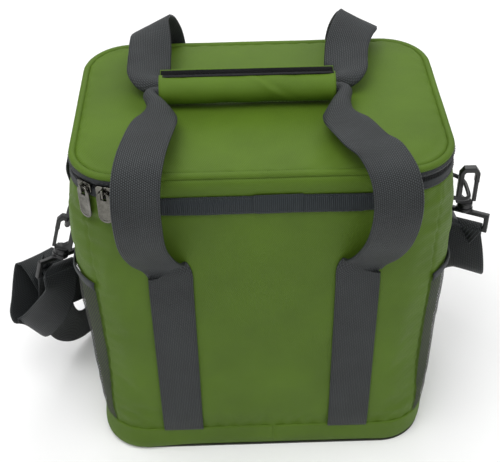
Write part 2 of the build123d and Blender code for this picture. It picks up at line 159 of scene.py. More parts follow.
# ---- mesh building ----
def add_object(name, verts, faces, material=None, uv=None):
    """A mesh object; uv holds each face corner's weave coordinates, in metres."""
    mesh = bpy.data.meshes.new(name)
    mesh.from_pydata([tuple(v) for v in verts], [], faces)
    mesh.update()
    if uv is not None:
        layer = mesh.uv_layers.new(name="weave")
        layer.data.foreach_set("uv", np.array(uv, np.float32).ravel())
    mesh.polygons.foreach_set("use_smooth", [True] * len(mesh.polygons))
    obj = bpy.data.objects.new(name, mesh)
    bpy.context.scene.collection.objects.link(obj)
    if material is not None:
        mesh.materials.append(material)
    return obj


def grid(name, rows, coords, material, closed=False, caps=False):
    """A sheet from rows of points; coords has the weave coordinates; closed joins each row's ends."""
    rows = np.array(rows, float)
    count, width = rows.shape[:2]
    faces, uv = [], []
    for i in range(count - 1):
        for j in range(width if closed else width - 1):
            k = (j + 1) % width
            faces.append((i * width + j, i * width + k, (i + 1) * width + k, (i + 1) * width + j))
            uv += [coords[i][j], coords[i][j + 1], coords[i + 1][j + 1], coords[i + 1][j]]
    if caps:
        faces += [tuple(range(width))[::-1], tuple(range((count - 1) * width, count * width))]
        uv += coords[0][:width][::-1] + coords[-1][:width]
    return add_object(name, rows.reshape(-1, 3), faces, material, uv)


def woven(name, rows, material):
    """An open sheet from rows of (point, weave coordinates) pairs."""
    return grid(name, [[p for p, uv in row] for row in rows], [[uv for p, uv in row] for row in rows], material)


def round_rows(around, levels, at):
    """Rows of points round the plan: at(run, *level) says how far out and how high each one lies."""
    rows = []
    for level in levels:
        row = []
        for run in around:
            out, z = at(run, *level)
            row.append((*plan(run, out)[:2], z))
        rows.append(row)
    return rows


def round_sheet(name, around, levels, at, material, closed=True):
    """A sheet of such rows; a level's last number is its weave coordinate."""
    ends = around + [GIRTH] if closed else around
    coords = [[(run, level[-1]) for run in ends] for level in levels]
    return grid(name, round_rows(around, levels, at), coords, material, closed)


def lying_panel(name, step, rings, inner_z, material, ring_z=lambda run, x, y, inset, z: z):
    """A lying sheet with the plan's outline: rings of (inset, z), then rows that close in on the spine."""
    rows = []
    for inset, z in rings:
        row = []
        for run in runs(0, GIRTH, step)[:-1]:
            x, y = plan(run, -inset)[:2]
            row.append((x, y, ring_z(run, x, y, inset, z)))
        rows.append(row)
    edge = rows[-1]
    for t in spread(0, 1, 14)[1:]:
        row = []
        for x, y, z in edge:
            px, py = x + (min(max(x, -SPINE), SPINE) - x) * t, y * (1 - t)
            row.append((px, py, inner_z(px, py, x, y, t)))
        rows.append(row)
    coords = [[p[:2] for p in row + row[:1]] for row in rows]
    return weld(grid(name, rows, coords, material, closed=True), 0.0001)


def freeze(obj):
    """Applies an object's modifiers."""
    bpy.context.view_layer.update()
    deps = bpy.context.evaluated_depsgraph_get()
    mesh = bpy.data.meshes.new_from_object(obj.evaluated_get(deps), preserve_all_data_layers=True,
                                           depsgraph=deps)
    obj.modifiers.clear()
    obj.data = mesh
    return obj


def modified(obj, kind, **settings):
    """Gives an object one modifier and applies it."""
    mod = obj.modifiers.new(kind, kind)
    for key, value in settings.items():
        setattr(mod, key, value)
    return freeze(obj)


def thicken(obj, thickness, offset=-1.0):
    """Gives a sheet its thickness, inwards by default."""
    return modified(obj, "SOLIDIFY", thickness=thickness, offset=offset)


def subdivide(obj):
    return modified(obj, "SUBSURF", levels=1, render_levels=1)


def weld(obj, distance):
    return modified(obj, "WELD", merge_threshold=distance)


def place(obj, body, slot, *stands_for):
    """Finishes a piece: its body and the CAD nodes it stands for; slot is not used."""
    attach(obj, body)
    if stands_for:
        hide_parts(*stands_for)


def directions(points):
    """Unit tangents along a line of points."""
    t = np.gradient(points, axis=0)
    return t / np.linalg.norm(t, axis=1)[:, None]


def distances(points):
    """Distance along a line of points, for each of them."""
    return np.concatenate([[0], np.cumsum(np.linalg.norm(np.diff(points, axis=0), axis=1))])


def tube(name, points, radius, material, sides, closed=False):
    """A round bar along points."""
    points = np.array(points, float)
    tangents = directions(points)
    if closed:
        tangents[0] = points[1] - points[-2]
        tangents[0] /= np.linalg.norm(tangents[0])
        tangents[-1] = tangents[0]
    side = np.cross(tangents[0], [0.3, 0.2, 0.93])
    rows, coords, run = [], [], 0.0
    for i, (p, t) in enumerate(zip(points, tangents)):
        side = side - t * side.dot(t)
        side /= np.linalg.norm(side)
        up = np.cross(t, side)
        if i:
            run += np.linalg.norm(p - points[i - 1])
        rows.append([p + radius * (math.cos(a) * side + math.sin(a) * up)
                     for a in (2 * math.pi * k / sides for k in range(sides))])
        coords.append([(run, 2 * math.pi * radius * k / sides) for k in range(sides + 1)])
    if closed:
        rows[-1] = rows[0]
    obj = grid(name, rows, coords, material, closed=True, caps=not closed)
    return weld(obj, 1e-5) if closed else obj


def ribbon(name, points, sides, widths, material, thickness, folds=None):
    """Webbing along points. sides point across it; folds bends its section into an arc, in radians."""
    points, sides = np.array(points, float), np.array(sides, float)
    half, across, under = thickness / 2, 12, 0.0007  # under: how far the back's weave is shifted
    rows, coords, run = [], [], 0.0
    for i, (p, t) in enumerate(zip(points, directions(points))):
        s = sides[i] - t * sides[i].dot(t)
        s /= np.linalg.norm(s)
        n = np.cross(s, t)
        if i:
            run += np.linalg.norm(p - points[i - 1])
        width, fold = widths[i], folds[i] if folds else 0.0
        upper, lower, upper_uv, lower_uv = [], [], [], []
        for k in range(across + 1):
            c = (k / across - 0.5) * (width - half)
            if abs(fold) < 1e-4:
                at, normal = p + s * c, n
            else:
                bend = fold / width
                middle_up = (1 - math.sin(fold / 2) / (fold / 2)) / bend
                a = c * bend
                at = p + s * math.sin(a) / bend - n * ((1 - math.cos(a)) / bend - middle_up)
                normal = n * math.cos(a) + s * math.sin(a)
            upper.append(at + normal * half)
            lower.append(at - normal * half)
            upper_uv.append((run, c))
            lower_uv.append((run, c + under))
        rims = []
        for k in (across, 0):
            out = upper[k] - lower[k]
            out = np.cross(t, out / np.linalg.norm(out))
            middle = (upper[k] + lower[k]) / 2
            out *= math.copysign(half / 2, np.dot(out, middle - p))
            rims.append(middle + out)
        rows.append(upper + [rims[0]] + lower[::-1] + [rims[1]])
        ring_uv = upper_uv + [(run, width / 2)] + lower_uv[::-1] + [(run, -width / 2)]
        coords.append(ring_uv + [ring_uv[0]])
    return grid(name, rows, coords, material, closed=True, caps=True)


STITCH = ((0, 0.35, 0.0), (0.25, 1.0, 0.7), (0.75, 1.0, 0.7), (1, 0.35, 0.0))  # share of length, of radius, rise


def stitches(name, lines, material, pitch=0.0034, length=0.0025, radius=0.00026):
    """Rows of thread. Each line is a list of (point, outward) pairs; stitches lie half sunk along it."""
    verts, faces, uv, margin = [], [], [], 0.0004
    for line in lines:
        pts, outs = (np.array(column, float) for column in zip(*line))
        run = distances(pts)
        for k in range(int(run[-1] / pitch)):
            a = k * pitch + margin
            b = min(a + length, run[-1])
            start, end = (np.array([np.interp(v, run, d) for d in pts.T]) for v in (a, b))
            out = np.array([np.interp((a + b) / 2, run, d) for d in outs.T])
            out /= np.linalg.norm(out)
            t = end - start
            if np.linalg.norm(t) < 1e-6:
                continue
            s = np.cross(t / np.linalg.norm(t), out)
            base = len(verts)
            for along, size, rise in STITCH:
                c = start + t * along + out * radius * rise
                for m in range(6):
                    turn = math.pi * m / 3
                    verts.append(c + radius * size * (math.cos(turn) * s + math.sin(turn) * out))
            for j in (base, base + 6, base + 12):
                for m in range(6):
                    q = (m + 1) % 6
                    faces.append((j + m, j + q, j + 6 + q, j + 6 + m))
                    uv += [(a, 0), (a, 0.0003), (b, 0.0003), (b, 0)]
            faces += [tuple(range(base, base + 6))[::-1], tuple(range(base + 18, base + 24))]
            uv += [(a, 0)] * 6 + [(b, 0)] * 6
    return add_object(name, verts, faces, material, uv)


# ---- materials ----
class Look:
    """A material being made: a Principled shader and short ways to add nodes."""

    def __init__(self, name, **sockets):
        self.mat = bpy.data.materials.new(name)
        self.mat.use_nodes = True
        self.tree = self.mat.node_tree
        self.shader = self.tree.nodes["Principled BSDF"]
        for key, value in sockets.items():
            self.shader.inputs[key.replace("_", " ")].default_value = value

    def node(self, kind, links=None, **props):
        n = self.tree.nodes.new(kind)
        for key, value in props.items():
            setattr(n, key, value)
        for key, value in (links or {}).items():
            self.feed(n.inputs[key], value)
        return n

    def feed(self, socket, value):
        """Links a node's output to a socket, or sets the socket's value."""
        if isinstance(value, bpy.types.NodeSocket):
            self.tree.links.new(value, socket)
        else:
            socket.default_value = value

    def math(self, operation, *values):
        return self.node("ShaderNodeMath", dict(enumerate(values)), operation=operation).outputs[0]

    def add(self, a, b):
        return self.math("ADD", a, b)

    def times(self, a, b):
        return self.math("MULTIPLY", a, b)

    def times_add(self, a, b, c):
        return self.math("MULTIPLY_ADD", a, b, c)

    def weave_xy(self):
        """The weave coordinates' two numbers, in metres."""
        uv = self.node("ShaderNodeUVMap", uv_map="weave")
        parts = self.node("ShaderNodeSeparateXYZ", {0: uv.outputs[0]})
        return parts.outputs[0], parts.outputs[1]

    def object_xyz(self):
        return self.node("ShaderNodeTexCoord").outputs["Object"]

    def noise(self, scale, detail=3.0, rough=0.5, stretch=None):
        vector = self.object_xyz()
        if stretch:
            vector = self.node("ShaderNodeVectorMath", {0: vector, 1: stretch}, operation="MULTIPLY").outputs[0]
        links = {"Vector": vector, "Scale": scale, "Detail": detail, "Roughness": rough}
        return self.node("ShaderNodeTexNoise", links).outputs["Fac"]

    def wave(self, value, pitch):
        """0 to 1 along a coordinate, with the given pitch."""
        turn = self.times_add(value, 2 * math.pi / pitch, 0.0)
        return self.times_add(self.math("SINE", turn), 0.5, 0.5)

    def ramp(self, fac, stops):
        n = self.node("ShaderNodeValToRGB", {0: fac})
        while len(n.color_ramp.elements) < len(stops):
            n.color_ramp.elements.new(0.5)
        for e, (at, colour) in zip(n.color_ramp.elements, stops):
            e.position, e.color = at, (*colour, 1)
        return n.outputs[0]

    def shades(self, fac, colour, *stops):
        """A ramp of one colour's shades, from (place, brightness) pairs."""
        return self.ramp(fac, [(at, shade(colour, k)) for at, k in stops])

    def mix(self, fac, a, b, blend="MIX"):
        return self.node("ShaderNodeMix", {0: fac, 6: a, 7: b}, data_type="RGBA", blend_type=blend).outputs[2]

    def finish(self, colour, rough, height=None, strength=0.0, distance=0.0):
        """Feeds the shader its colour, roughness and relief; returns the material."""
        self.feed(self.shader.inputs["Base Color"], colour)
        self.feed(self.shader.inputs["Roughness"], rough)
        if height is not None:
            b = self.node("ShaderNodeBump", {"Height": height, "Strength": strength, "Distance": distance})
            self.feed(self.shader.inputs["Normal"], b.outputs[0])
        return self.mat


def srgb(code):
    """Linear colour of a hex code."""
    values = [int(code[i:i + 2], 16) / 255 for i in (0, 2, 4)]
    return tuple(v / 12.92 if v <= 0.04045 else ((v + 0.055) / 1.055) ** 2.4 for v in values)


def shade(colour, k):
    return tuple(min(c * k, 1.0) for c in colour)


def oxford(name, code, pitch=0.0017):
    """Diagonal-weave polyester: fine slanted ribs, cross yarns, mottling and a soft sheen; the ribs' tops are
    painted lighter and the hollows between them painted darker.
    """
    colour = srgb(code)
    k = Look(name, Specular_IOR_Level=0.32, Sheen_Weight=0.05, Sheen_Roughness=0.45,
             Sheen_Tint=(*shade(colour, 3.0), 1))
    u, v = k.weave_xy()
    rib, yarn = k.wave(k.add(u, v), pitch), k.wave(k.math("SUBTRACT", u, v), pitch * 0.62)
    height = k.add(k.times(rib, 0.7), k.times(yarn, 0.3))
    grain, mottle = k.noise(1700.0, 2.0), k.noise(16.0, 4.0, 0.55)
    patches = k.times_add(mottle, 0.75, k.times(grain, 0.25))
    base = k.shades(patches, colour, (0.30, 0.84), (0.52, 1.0), (0.74, 1.16))
    # painted light and shade: the weave's ridges are painted up to 1.12 times lighter and its hollows down to
    # 0.62 times darker
    weave_light_and_shade = k.ramp(height, [(0.12, (0.62, 0.62, 0.60)), (0.5, (0.95, 0.95, 0.95)), (0.9, (1.12, 1.12, 1.05))])
    return k.finish(k.mix(0.8, base, weave_light_and_shade, "MULTIPLY"), k.times_add(height, -0.16, 0.72),
                    k.times_add(grain, 0.35, height), 0.55, 0.00035)


def webbing(name, code, across=0.0016, along=0.0019):
    """Woven strap: staggered ribs along it that dip under each cross thread, with painted highlights on the
    knuckles and painted shade in the dips.
    """
    k = Look(name, Specular_IOR_Level=0.35, Sheen_Weight=0.04, Sheen_Roughness=0.35,
             Sheen_Tint=(0.6, 0.65, 0.7, 1))
    u, v = k.weave_xy()
    row, column = k.times(u, 1.0 / along), k.times(v, 1.0 / across)
    stagger = k.times(k.math("FLOOR", column), 0.5)
    warp = k.math("ABSOLUTE", k.math("SINE", k.times(column, math.pi)))
    pick = k.math("ABSOLUTE", k.math("SINE", k.times(k.add(row, stagger), math.pi)))
    knuckle = k.times(k.math("POWER", warp, 0.7), k.math("POWER", pick, 0.6))
    fuzz, tone = k.noise(2200.0, 2.0), k.noise(30.0, 3.0)
    base = k.shades(tone, srgb(code), (0.3, 0.85), (0.7, 1.18))
    # painted highlights on the knuckles, up to 1.9 times lighter and bluish, and painted shade between them,
    # down to 0.35
    weave_light_and_shade = k.ramp(knuckle, [(0.05, (0.35, 0.35, 0.36)), (0.55, (0.9, 0.9, 0.9)), (0.97, (1.9, 1.94, 1.98))])
    return k.finish(k.mix(1.0, base, weave_light_and_shade, "MULTIPLY"), k.times_add(knuckle, -0.22, 0.68),
                    k.times_add(fuzz, 0.2, knuckle), 0.8, 0.0006)


def ribbed(name, code, pitch, light):
    """Grosgrain or zipper tape: ribs across it and a faint thread along; the rib tops are painted lighter, up to
    light times the colour, and the grooves painted darker.
    """
    colour = srgb(code)
    k = Look(name, Specular_IOR_Level=0.35, Sheen_Weight=0.1)
    u, v = k.weave_xy()
    rib, thread = k.wave(u, pitch), k.wave(v, 0.0009)
    fuzz = k.noise(1900.0, 2.0)
    height = k.times_add(thread, 0.25, rib)
    # painted light and shade: rib tops painted lighter, up to light times the colour, grooves painted down to
    # half
    lit = k.shades(k.times(height, 0.8), colour, (0.1, 0.5), (0.6, 1.1), (0.98, light))
    fuzzy = k.shades(fuzz, colour, (0.3, 0.6), (0.7, 1.5))
    return k.finish(k.mix(0.35, lit, fuzzy), 0.75, height, 0.7, 0.0005)


def plastic(name, code, gloss):
    """Moulded plastic or thread: a faint grain and worn, slightly lighter patches."""
    k = Look(name, Specular_IOR_Level=0.5)
    grain, wear = k.noise(900.0, 3.0), k.noise(60.0, 5.0, 0.6)
    colour = k.shades(wear, srgb(code), (0.35, 0.8), (0.62, 1.2), (0.8, 2.0))
    return k.finish(colour, k.times_add(wear, 0.25, gloss - 0.1), grain, 0.12, 0.0002)


def nickel(name):
    """Plated metal: polished, with faint smears and fine scratches."""
    k = Look(name, Metallic=1.0)
    smear, scratch = k.noise(120.0, 4.0, 0.6), k.noise(500.0, 3.0, 0.6, stretch=(1.0, 1.0, 0.08))
    colour = k.ramp(smear, [(0.3, (0.06, 0.057, 0.048)), (0.7, (0.19, 0.185, 0.165))])
    return k.finish(colour, k.times_add(smear, 0.2, 0.10), scratch, 0.1, 0.0002)


def net(name, code, pitch=0.0026, row_share=0.87):
    """Open mesh: a staggered grid of holes in dark thread, seen through."""
    k = Look(name, Specular_IOR_Level=0.4)
    u, v = k.weave_xy()
    row = k.times(v, 1.0 / (pitch * row_share))
    shift = k.times(k.math("MODULO", k.math("ABSOLUTE", k.math("FLOOR", row)), 2.0), 0.5)
    column = k.add(k.times(u, 1.0 / pitch), shift)
    dx = k.math("SUBTRACT", k.math("FRACT", column), 0.5)
    dy = k.times(k.math("SUBTRACT", k.math("FRACT", row), 0.5), row_share)
    away = k.math("SQRT", k.add(k.times(dx, dx), k.times(dy, dy)))
    k.feed(k.shader.inputs["Alpha"], k.math("GREATER_THAN", away, 0.31))
    return k.finish(k.shades(k.noise(2000.0, 2.0), srgb(code), (0.3, 0.7), (0.7, 1.5)), 0.7)


def foil(name):
    """Foil-faced lining: crinkled, with soft bright and dull patches."""
    k = Look(name, Metallic=0.55, Specular_IOR_Level=0.6)
    crease = k.node("ShaderNodeTexVoronoi", {"Vector": k.object_xyz(), "Scale": 90.0},
                    feature="DISTANCE_TO_EDGE")
    soft = k.noise(40.0, 5.0, 0.6)
    height = k.times_add(soft, 0.8, k.math("MINIMUM", crease.outputs[0], 0.2))
    colour = k.ramp(soft, [(0.3, (0.50, 0.52, 0.54)), (0.7, (0.80, 0.82, 0.84))])
    return k.finish(colour, k.times_add(soft, 0.25, 0.22), height, 0.55, 0.0012)


def touch_tape(name, code, scale, depth):
    """Hook or loop tape: a dense field of tiny bristles, their tips painted lighter as painted highlights."""
    k = Look(name, Specular_IOR_Level=0.12)
    cells = k.node("ShaderNodeTexVoronoi", {"Vector": k.object_xyz(), "Scale": scale}, feature="F1")
    away = cells.outputs["Distance"]
    # painted highlight: the bristle tips, where the bump is highest, are painted up to twice as light
    colour = k.shades(away, srgb(code), (0.1, 2.0), (0.5, 1.0))
    return k.finish(colour, 0.6, k.math("SUBTRACT", 1.0, away), 0.8, depth)


m_green = oxford("green_oxford", "4d690d")
m_wrap = oxford("wrap_oxford", "506d0f", 0.0013)
m_strap = webbing("charcoal_webbing", "272a2b")
m_shoulder = webbing("shoulder_webbing", "212425", 0.0018, 0.0022)
m_seam = ribbed("grosgrain", "1d2427", 0.0016, 2.6)
m_zip = ribbed("zipper_tape", "232729", 0.0011, 1.6)
m_elastic = ribbed("elastic", "292d2f", 0.0012, 1.7)
m_coil = plastic("zipper_nylon", "1a1c1d", 0.42)
m_black = plastic("black_acetal", "0b0c0d", 0.34)
m_net = net("pocket_net", "23261f")
m_foil = foil("foil_lining")
m_hooks = touch_tape("hook_tape", "0d0d0f", 900.0, 0.0008)
m_loops = touch_tape("loop_tape", "0d0e10", 600.0, 0.0005)
m_nickel = nickel("polished_nickel")
m_thread = plastic("green_thread", "6f9a34", 0.6)
m_dark_thread = plastic("dark_thread", "2a2d30", 0.6)
m_board = plastic("base_board", "24281c", 0.7)


# ---- the soft wall: how far it stands outside its plan ----
# soft folds near the front left corner: distance from the seam, lowest and highest z, lean, depth
FOLDS = [(0.006, 0.20, 0.30, 0.10, -0.0018), (0.017, 0.19, 0.29, 0.25, 0.0014),
         (0.028, 0.15, 0.27, 0.45, -0.0013), (-0.012, 0.21, 0.30, -0.10, 0.0014),
         (0.038, 0.10, 0.22, 0.6, 0.0010)]


def wall_out(run, z):
    """Outward offset of the cloth wall: bellies, waves, puckered seams and folds."""
    x, y, nx, ny = plan(run)
    t = share(BAND_TOP, WALL_TOP, z)
    ends = smooth(0.0, 0.06, t) * smooth(1.0, 0.93, t)
    out = math.sin(math.pi * t * t) * nx * nx * (0.0068 if nx < 0 else 0.0050)
    out += math.sin(math.pi * t) * ny * ny * (0.0022 if ny < 0 else 0.0030) * (1 - 0.6 * abs(x) / HALF_X)
    out += ends * (0.0010 * wavy(run, z * 0.55, 3.7, 0.055) + 0.0006 * wavy(run, z, 9.1, 0.026))
    for k, seam in enumerate(SEAMS):
        d = past(run, seam)
        if abs(d) < 0.03:
            out -= ends * 0.0011 * bump(d, 0, 0.0013)
            out += ends * 0.0005 * bump(abs(d), 0.0035, 0.0022)
            out += ends * 0.0004 * math.sin(z * 430 + 2 * wavy(z, k, 0, 0.05)) * bump(d, 0, 0.009)
    for middle, low, high, lean, depth in FOLDS:
        along = past(run, SEAMS[3]) - middle - lean * (z - (low + high) / 2)
        out += depth * bump(along, 0, 0.006) * smooth(low, low + 0.035, z) * smooth(high, high - 0.035, z)
    for edge in (BAND_TOP + 0.004, WALL_TOP - 0.004):
        out += 0.0005 * math.sin(run * 390 + 3 * wavy(run, 0, 5, 0.08)) * bump(z, edge, 0.012)
    return out


def inflate(obj, pins, cap, pressure):
    """Cloth simulation on a sheet: pressure from inside, pinned where pins is 1, no point moving past cap."""
    rest = np.array([v.co for v in obj.data.vertices], float)
    group = obj.vertex_groups.new(name="pin")
    for i, w in enumerate(pins):
        if w > 0:
            group.add([i], w, "REPLACE")
    mod = obj.modifiers.new("cloth", "CLOTH")
    s = mod.settings
    s.quality, s.mass = 5, 0.25
    s.tension_stiffness = s.compression_stiffness = 12
    s.shear_stiffness, s.bending_stiffness = 6, 0.6
    s.vertex_group_mass = "pin"
    s.use_pressure, s.uniform_pressure_force = True, pressure
    s.shrink_min = -0.012
    s.effector_weights.gravity = 0
    last_frame = 14
    mod.point_cache.frame_start, mod.point_cache.frame_end = 1, last_frame
    scene = bpy.context.scene
    for f in range(1, last_frame + 1):
        scene.frame_set(f)
    deps = bpy.context.evaluated_depsgraph_get()
    step = np.array([v.co for v in obj.evaluated_get(deps).data.vertices], float) - rest
    obj.modifiers.remove(mod)
    obj.vertex_groups.clear()
    scene.frame_set(1)
    size = np.linalg.norm(step, axis=1)
    step *= (cap * np.tanh(size / cap) / np.maximum(size, 1e-9))[:, None]
    for v, co in zip(obj.data.vertices, rest + step):
        v.co = co
    obj.data.update()
    return obj


around = runs(0, GIRTH, 0.0042, SEAMS)[:-1]
heights = spread(0.004, WALL_TOP, 74)
shell = round_sheet("body_shell", around, [(z,) for z in heights], lambda run, z: (wall_out(run, z), z), m_green)
inflate(shell, [1.0 if z < 0.034 or z > 0.308 else 0.0 for z in heights for run in around], 0.0022, 3.0)
wall_tree = BVHTree.FromObject(shell, bpy.context.evaluated_depsgraph_get())


def wall_hit(start, toward, reach):
    """Where a ray meets the finished wall, or None."""
    return wall_tree.ray_cast(Vector(start), Vector(toward), reach)[0]


def wall_point(run, z, lift=0.0):
    """(x, y) on the finished wall, lifted off it."""
    x, y, nx, ny = plan(run)
    at = wall_hit((x + 0.05 * nx, y + 0.05 * ny, z), (-nx, -ny, 0), 0.1) or Vector((x, y, z))
    return at.x + lift * nx, at.y + lift * ny


def face_wall(sy, x, z, lift=0.0):
    """The finished wall's y at (x, z), on the front (sy = -1) or the back (sy = 1), moved out by lift."""
    at = wall_hit((x, sy * 0.2, z), (0, -sy, 0), 0.15)
    return (at.y if at else sy * DEPTH / 2) + sy * lift


shell = thicken(shell, CLOTH)
place(shell, "root", "green_cloth", "front_panel", "back_panel", "left_side_panel", "right_side_panel",
      "front_foam", "back_foam", "left_foam", "right_foam")


# ---- base band ----
BAND_JOIN = 0.008
BAND = tenths([
    (-100, 10), (-40, 6), (-12, 12), (4, 36), (12, 75), (16, 130), (16, 190), (14, 245), (16, 284), (13, 297),
    (-2, 302)])


def band_at(run, out, z, weave):
    """The band's offset and height: waves, puckers, the join, a kicked corner and a lifted front edge."""
    x, y, nx, ny = plan(run)
    top = smooth(0.004, 0.028, z)
    o = out + 0.0005 * wavy(run, z * 2, 1.3, 0.03) * smooth(0.003, 0.01, z)
    o += 0.0003 * math.sin(run * 420 + 3 * wavy(run, 0, 2, 0.06)) * top
    o -= 0.0007 * bump(run, BAND_JOIN, 0.0010)
    o += 0.0034 * bump(run, SEAMS[3], 0.042) * smooth(0.030, 0.006, z) * (1 if out > -0.002 else 0.4)
    lift = 0.0028 * smooth(0.13, 0.02, abs(x - 0.01)) * (1 - top) if ny < -0.5 else 0.0
    return o, z + lift + 0.0006 * wavy(run, 0, 7.7, 0.06) * top


band = round_sheet("base_band_cloth", runs(0, GIRTH, 0.0045, [BAND_JOIN])[:-1],
                   [(out, z, z + out) for out, z in BAND], band_at, m_green)
place(thicken(subdivide(band), CLOTH), "root", "green_cloth", "base_band")

# ---- zipper: tapes and coils, open along the front where the cloth hinge is ----
ZIP_START, ZIP_STOP = HINGE_HALF + 0.0004, GIRTH - HINGE_HALF - 0.0004
COIL_PITCH, COIL_OUT, COIL_HIGH = 0.0016, 0.00072, 0.00078


def tape(name, profile, start=0, stop=GIRTH):
    """A zipper-tape band round the plan, from a profile of (outward, z) points."""
    return round_sheet(name, runs(start, stop, 0.0045), [(k, *level) for k, level in enumerate(profile)],
                       lambda run, k, out, z: (out + 0.0002 * wavy(run, k, 2.2, 0.02), z), m_zip, closed=False)


def coil(name, z, phase):
    """A nylon coil: a fine helix that follows the zipper."""
    per = 8
    points = []
    for i, run in enumerate(spread(ZIP_START, ZIP_STOP, int((ZIP_STOP - ZIP_START) / COIL_PITCH) * per)):
        a = 2 * math.pi * i / per + phase
        points.append((*plan(run, -0.0011 + COIL_OUT * math.cos(a))[:2], z + COIL_HIGH * math.sin(a)))
    return tube(name, points, 0.00030, m_coil, sides=5)


def ring_line(z, out):
    """A stitch line along the zipper, at one height."""
    line = []
    for run in runs(ZIP_START, ZIP_STOP, 0.004):
        x, y, nx, ny = plan(run, out)
        line.append(((x, y, z), (nx, ny, 0)))
    return line


ZIP_BODY = {"lower": "root", "upper": "lid"}
ZIP_TAPES = {"lower": [(1, 3139), (6, 3143), (8, 3165), (6, 3190), (2, 3212), (-2, 3219)],
             "upper": [(-2, 3264), (3, 3272), (5, 3290), (3, 3310), (-2, 3316)]}
for half, body in ZIP_BODY.items():
    piece = thicken(tape("zipper_tape_" + half, tenths(ZIP_TAPES[half]), ZIP_START, ZIP_STOP), TAPE_THICK)
    place(piece, body, "zipper_tape", f"zipper_{half}_tape")
for half, z, phase in (("lower", 0.32305, 0.0), ("upper", 0.32515, 1.6)):
    place(coil("zipper_coil_" + half, z, phase), ZIP_BODY[half], "zipper_coil", f"zipper_{half}_coil")
for half, z, out in (("lower", 0.3163, 0.0009), ("upper", 0.3296, 0.0006)):
    thread = stitches(f"zipper_{half}_stitching", [ring_line(z, out)], m_dark_thread)
    place(thread, ZIP_BODY[half], "zipper_tape")


# ---- lid: crowned pad, welt with its join, lining ----
LID_RINGS = tenths([
    (46, -46), (50, -32), (56, -21), (64, -14), (76, -9), (95, -5), (125, -2), (165, 1), (210, 4)])
WELT_Z, WELT_R, WELT_JOIN, WELT_SIDES = 0.3329, 0.0030, 0.004, 16


def lid_level(x, y, base):
    """The lid's height: a crown, dents, and one dent pressed in near the back."""
    crown = 0.0006 * (1 - (x / 0.15) ** 2) * (1 - (y / 0.1) ** 2)
    dents = 0.0007 * wavy(x, y, 4.4, 0.06) + 0.0004 * wavy(x, y, 8.4, 0.03)
    dents -= 0.0006 * bump(x, 0.045, 0.03) * bump(y, 0.075, 0.02)
    near = smooth(0.002, 0.02, min(WIDTH / 2 - abs(x), DEPTH / 2 - abs(y)) - 0.004)
    return LID_TOP + base + crown * near + dents * near


def puckered(run, x, y, inset, base):
    """The lid's height near its edge, puckered where it is sewn to the welt."""
    pucker = 0.00025 * math.sin(run * 400 + 3 * wavy(run, 0, 1, 0.05)) * bump(inset, 0.007, 0.004)
    return lid_level(x, y, base) + pucker


def welt_at(run, a, weave):
    """The welt's offset and height at an angle a round its cord, with the join as a small notch."""
    r = WELT_R + 0.00018 * wavy(run, math.cos(a), math.sin(a), 0.02) - 0.0004 * bump(run, WELT_JOIN, 0.0008)
    return -WELT_R + r * math.cos(a) * 1.02, WELT_Z + r * math.sin(a) + 0.0002 * wavy(run, 0, 6, 0.04)


pad = lying_panel("lid_pad", 0.0046, LID_RINGS, lambda px, py, *edge: lid_level(px, py, 0.0004), m_green,
                  puckered)
from_edge = [min(WIDTH / 2 - abs(v.co.x), DEPTH / 2 - abs(v.co.y)) for v in pad.data.vertices]
pins = [1.0 if d < 0.0064 or v.co.z < LID_TOP - 0.0012 else 0.0 for d, v in zip(from_edge, pad.data.vertices)]
pad = thicken(inflate(pad, pins, 0.0009, 1.5), CLOTH)
place(pad, "lid", "green_cloth", "lid_top_panel", "lid_foam")
welt = round_sheet("lid_welt", runs(0, GIRTH, 0.0042, [WELT_JOIN])[:-1],
                   [(a, a * WELT_R) for a in (2 * math.pi * k / WELT_SIDES for k in range(WELT_SIDES + 1))],
                   welt_at, m_green)
place(weld(welt, 1e-5), "lid", "green_cloth", "lid_piping")
lining = lying_panel("lid_lining", 0.008, tenths([(24, 3268), (34, 3262), (50, 3259), (80, 3260), (130, 3263)]),
                     lambda px, py, *edge: 0.3264 + 0.0005 * wavy(px, py, 2.0, 0.03), m_foil)
place(thicken(lining, 0.0005, 0.0), "lid", "liner", "lid_liner")
binding = tape("lid_binding", tenths([(-20, 3263), (-22, 3257), (-50, 3254), (-85, 3256)]))
place(thicken(binding, 0.0004), "lid", "zipper_tape")

# ---- lining: walls, floor and the bound rim ----
LINING_TOP, LINING_BOTTOM = 0.3222, 0.0112


def lining_at(run, z):
    """The lining hangs loosely between the rim and the floor."""
    hang = smooth(0.0, 0.04, LINING_TOP - z) * smooth(0.0, 0.03, z - LINING_BOTTOM)
    return -(0.0083 + 0.0011 * hang * (0.6 + wavy(run, z, 3.0, 0.05) + 0.5 * wavy(run, z, 6.0, 0.02))), z


walls = round_sheet("lining_walls", runs(0, GIRTH, 0.0060)[:-1],
                    [(z,) for z in spread(LINING_TOP, LINING_BOTTOM, 48)], lining_at, m_foil)
place(thicken(walls, THIN_CLOTH, 1.0), "root", "liner", "liner_walls")
bottom = lying_panel("lining_floor", 0.008, tenths([(92, 98), (96, 104), (110, 107), (150, 106)]),
                     lambda px, py, x, y, t: 0.0104 + 0.0004 * wavy(x, y, t, 0.04), m_foil)
place(thicken(bottom, THIN_CLOTH), "root", "liner", "liner_base", "base_foam")
rim = tape("rim_binding", tenths([
    (-16, 3196), (-17, 3215), (-22, 3222), (-50, 3227), (-84, 3226), (-96, 3218), (-97, 3150)]))
place(thicken(rim, 0.0005), "root", "zipper_tape")
rim_line = [(plan(run, -0.0099)[:2] + (0.3168,), tuple(-v for v in plan(run)[2:]) + (0,))
            for run in runs(0, GIRTH, 0.006)]
place(stitches("rim_stitching", [rim_line], m_dark_thread), "root", "zipper_tape")

# ---- base board ----
nodes["base_panel"].data.materials.clear()
nodes["base_panel"].data.materials.append(m_board)


